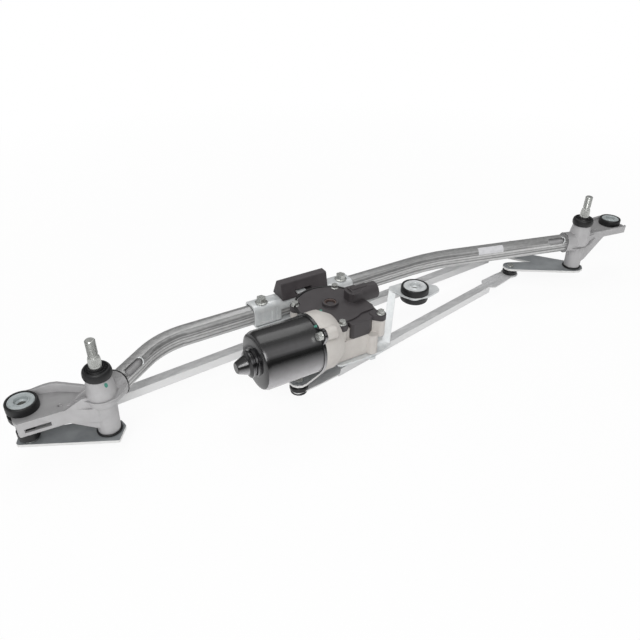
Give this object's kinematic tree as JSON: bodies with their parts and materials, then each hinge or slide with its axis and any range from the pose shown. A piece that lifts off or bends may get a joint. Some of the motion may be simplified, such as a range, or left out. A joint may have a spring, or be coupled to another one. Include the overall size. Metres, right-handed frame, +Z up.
{
  "type": "windshield wiper motor and linkage",
  "caption": "Windshield wiper drive: a geared motor on a bent tube between two wiper pivots, with crank, rods, levers and rubber mounts.",
  "frame": {"origin": "under the middle of the whole part's box, at its lowest face", "axes": "+X from the left pivot to the right one, +Y to the back (the motor is in front of the tube), +Z up along the wiper shafts"},
  "size_m": [0.8556, 0.1522, 0.1296],
  "materials": {
    "galvanised_steel": "zinc-coated drawn tube, satin with long streaks",
    "die_cast_alloy": "as-cast, matte",
    "gear_housing_alloy": "as-cast, warm grey, matte",
    "zinc_plate": "bright zinc-plated sheet",
    "lever_steel": "blue-grey stamped steel",
    "rod_steel": "plain grey pressed steel",
    "bright_steel": "bright machined and plated steel",
    "black_enamel": "gloss black enamel",
    "dark_plastic": "matte dark grey moulding",
    "black_rubber": "matte black",
    "grey_rubber": "matte brownish dark grey",
    "sintered_bronze": "oiled bronze",
    "gear_nylon": "cream nylon",
    "magnet_ferrite": "dull dark grey",
    "copper": "bare copper",
    "armature_iron": "stacked laminations"
  },
  "bodies": {
    "frame": {"block_tongue": "bright_steel", "bracket_bolt_1": "zinc_plate", "bracket_bolt_2": "zinc_plate", "bracket_bolt_3": "zinc_plate", "brush_plate": "dark_plastic", "can_screw_1": "bright_steel", "can_screw_2": "bright_steel", "centre_grommet": "black_rubber", "centre_mount_sleeve": "zinc_plate", "clamp_bolt_1": "bright_steel", "clamp_bolt_2": "bright_steel", "cover_screw_1": "bright_steel", "cover_screw_2": "bright_steel", "cover_screw_3": "bright_steel", "cover_screw_4": "bright_steel", "frame_tube": "galvanised_steel", "front_bearing": "sintered_bronze", "gear_cover": "dark_plastic", "gear_housing": "gear_housing_alloy", "left_grommet": "black_rubber", "left_mount_sleeve": "zinc_plate", "left_pivot_bush": "sintered_bronze", "left_pivot_housing": "die_cast_alloy", "left_seal_cap": "black_rubber", "magnet_1": "magnet_ferrite", "magnet_2": "magnet_ferrite", "motor_bracket": "zinc_plate", "motor_can": "black_enamel", "rear_bearing": "sintered_bronze", "right_grommet": "black_rubber", "right_mount_sleeve": "zinc_plate", "right_pivot_bush": "sintered_bronze", "right_pivot_housing": "die_cast_alloy", "right_seal_cap": "black_rubber", "rubber_block": "grey_rubber", "tube_clamp": "zinc_plate"},
    "armature": {"armature_core": "armature_iron", "armature_shaft": "bright_steel", "commutator": "copper"},
    "crank": {"output_shaft": "bright_steel", "worm_wheel": "gear_nylon", "crank_arm": "lever_steel", "crank_nut": "zinc_plate", "crank_stud": "bright_steel"},
    "right_pivot": {"right_wiper_shaft": "bright_steel", "right_lever": "lever_steel", "link_stud": "bright_steel", "drive_stud": "bright_steel", "drive_socket_ring": "black_rubber"},
    "left_pivot": {"left_wiper_shaft": "bright_steel", "left_lever": "lever_steel", "left_stud": "bright_steel", "left_socket_ring": "black_rubber"},
    "link_rod_body": {"link_rod": "rod_steel", "link_socket": "black_rubber", "link_rod_cap": "black_rubber"},
    "drive_rod_body": {"drive_rod": "rod_steel", "crank_socket": "black_rubber", "drive_rod_cap": "black_rubber"}
  },
  "joints": [
    {"name": "armature_spin", "type": "hinge", "parent": "frame", "child": "armature", "pos_m": [-0.08937, -0.04296, 0.0726], "axis": [1, 0, 0], "continuous": true},
    {"name": "crank_turn", "type": "hinge", "parent": "frame", "child": "crank", "pos_m": [-0.08937, -0.01196, 0.0226], "axis": [0, 0, 1], "continuous": true},
    {"name": "right_wiper_sweep", "type": "hinge", "parent": "frame", "child": "right_pivot", "pos_m": [0.33613, -0.00696, 0.0226], "axis": [0, 0, -1], "range_deg": [0, 78]},
    {"name": "left_wiper_sweep", "type": "hinge", "parent": "frame", "child": "left_pivot", "pos_m": [-0.34287, -0.00696, 0.0226], "axis": [0, 0, -1], "range_deg": [0, 100.34]},
    {"name": "link_rod_turn", "type": "hinge", "parent": "right_pivot", "child": "link_rod_body", "pos_m": [0.28565, 0.06513, 0.0226], "axis": [0, 0, 1], "range_deg": [0, 74.33]},
    {"name": "drive_rod_turn", "type": "hinge", "parent": "crank", "child": "drive_rod_body", "pos_m": [-0.14276, -0.03462, 0.0226], "axis": [0, 0, 1], "continuous": true}
  ],
  "couplings": [
    {"joint": "armature_spin", "follows": "crank_turn", "ratio": 28},
    {"joint": "drive_rod_turn", "follows": "crank_turn", "ratio": -1},
    {"joint": "left_wiper_sweep", "follows": "right_wiper_sweep", "ratio": 1.2864},
    {"joint": "link_rod_turn", "follows": "right_wiper_sweep", "ratio": 0.95285}
  ]
}
